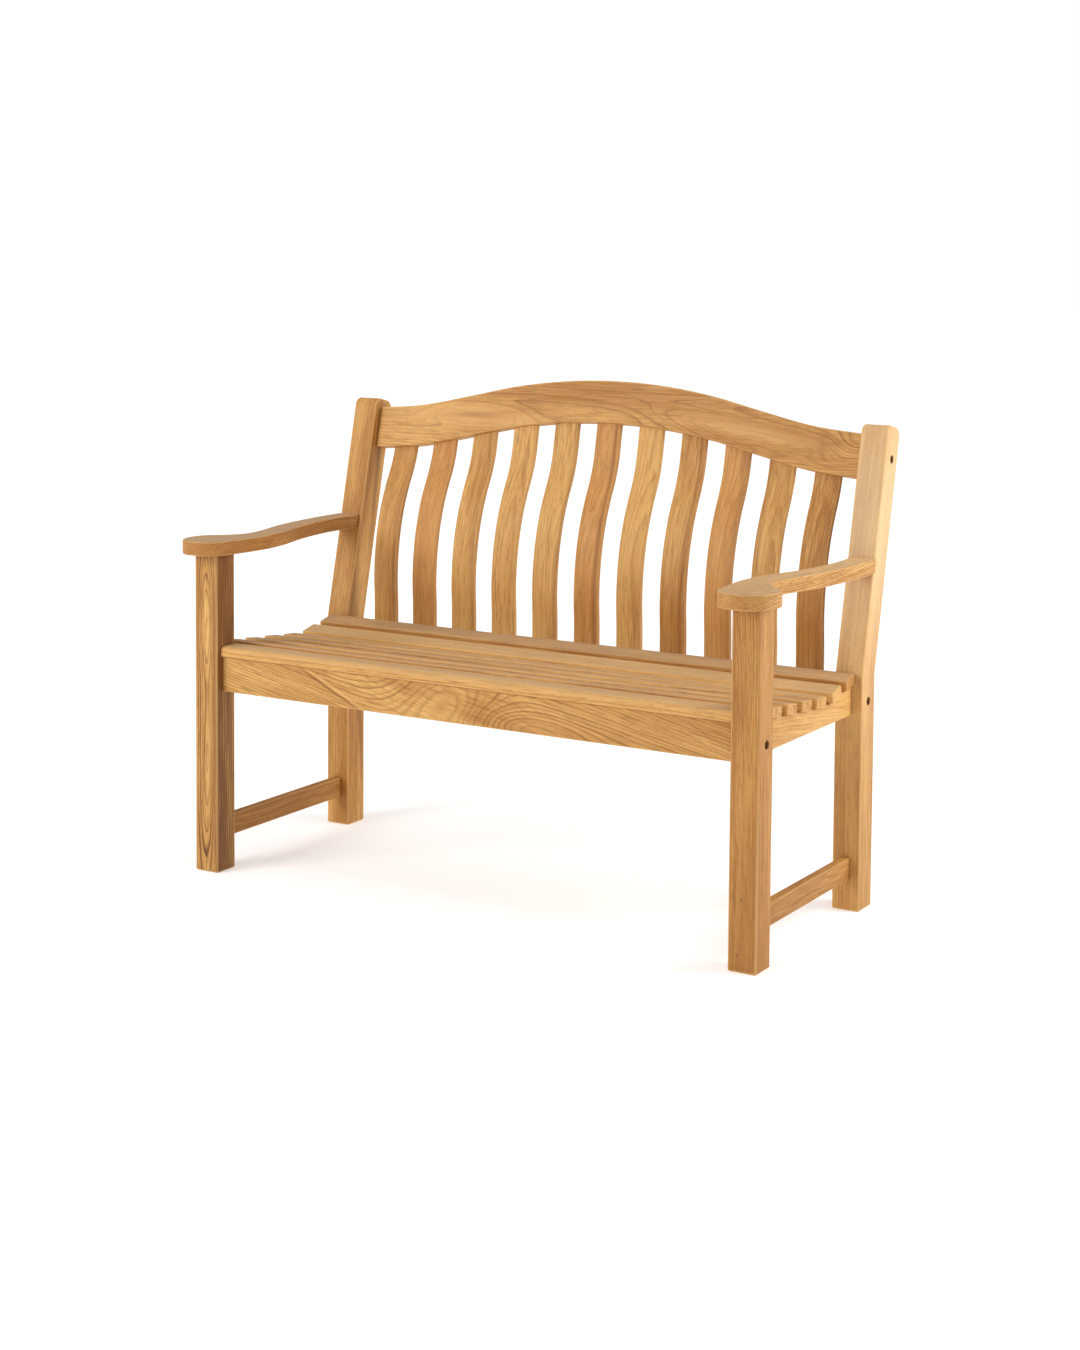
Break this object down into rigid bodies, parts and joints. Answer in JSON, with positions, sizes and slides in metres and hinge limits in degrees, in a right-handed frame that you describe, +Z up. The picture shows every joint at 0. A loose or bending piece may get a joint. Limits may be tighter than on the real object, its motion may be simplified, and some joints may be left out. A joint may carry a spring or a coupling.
{
  "type": "garden bench",
  "caption": "Slatted hardwood garden bench with an arched crest rail, curved back slats, a dished seat and flat armrests with rounded paddles.",
  "frame": {"origin": "on the ground under the middle of the bench's bounding box", "axes": "+X along the bench, to the right as seen from in front; +Y from the front of the seat to its back; +Z up"},
  "size_m": [1.248, 0.64, 0.9476],
  "materials": {
    "frame_wood": "oiled, satin",
    "slat_wood": "oiled, satin",
    "fastener_steel": "satin"
  },
  "bodies": {
    "root": {"front_leg_left": "frame_wood", "back_post_left": "frame_wood", "side_rail_left": "frame_wood", "stretcher_left": "frame_wood", "armrest_left": "frame_wood", "front_leg_right": "frame_wood", "back_post_right": "frame_wood", "side_rail_right": "frame_wood", "stretcher_right": "frame_wood", "armrest_right": "frame_wood", "front_rail": "frame_wood", "rear_rail": "frame_wood", "crest_rail": "frame_wood", "centre_bearer": "frame_wood", "back_slat_01": "slat_wood", "back_slat_02": "slat_wood", "back_slat_03": "slat_wood", "back_slat_04": "slat_wood", "back_slat_05": "slat_wood", "back_slat_06": "slat_wood", "back_slat_07": "slat_wood", "back_slat_08": "slat_wood", "back_slat_09": "slat_wood", "back_slat_10": "slat_wood", "back_slat_11": "slat_wood", "seat_slat_1": "slat_wood", "seat_slat_2": "slat_wood", "seat_slat_3": "slat_wood", "seat_slat_4": "slat_wood", "seat_slat_5": "slat_wood", "seat_slat_6": "slat_wood", "seat_slat_7": "slat_wood", "bolt_front_left": "fastener_steel", "barrel_nut_front_left": "fastener_steel", "bolt_rear_left": "fastener_steel", "barrel_nut_rear_left": "fastener_steel", "bolt_crest_left": "fastener_steel", "barrel_nut_crest_left": "fastener_steel", "bolt_front_right": "fastener_steel", "barrel_nut_front_right": "fastener_steel", "bolt_rear_right": "fastener_steel", "barrel_nut_rear_right": "fastener_steel", "bolt_crest_right": "fastener_steel", "barrel_nut_crest_right": "fastener_steel", "seat_screw_1_left": "fastener_steel", "seat_screw_2_left": "fastener_steel", "seat_screw_3_left": "fastener_steel", "seat_screw_4_left": "fastener_steel", "seat_screw_5_left": "fastener_steel", "seat_screw_6_left": "fastener_steel", "seat_screw_7_left": "fastener_steel", "seat_screw_1_right": "fastener_steel", "seat_screw_2_right": "fastener_steel", "seat_screw_3_right": "fastener_steel", "seat_screw_4_right": "fastener_steel", "seat_screw_5_right": "fastener_steel", "seat_screw_6_right": "fastener_steel", "seat_screw_7_right": "fastener_steel"}
  },
  "joints": []
}
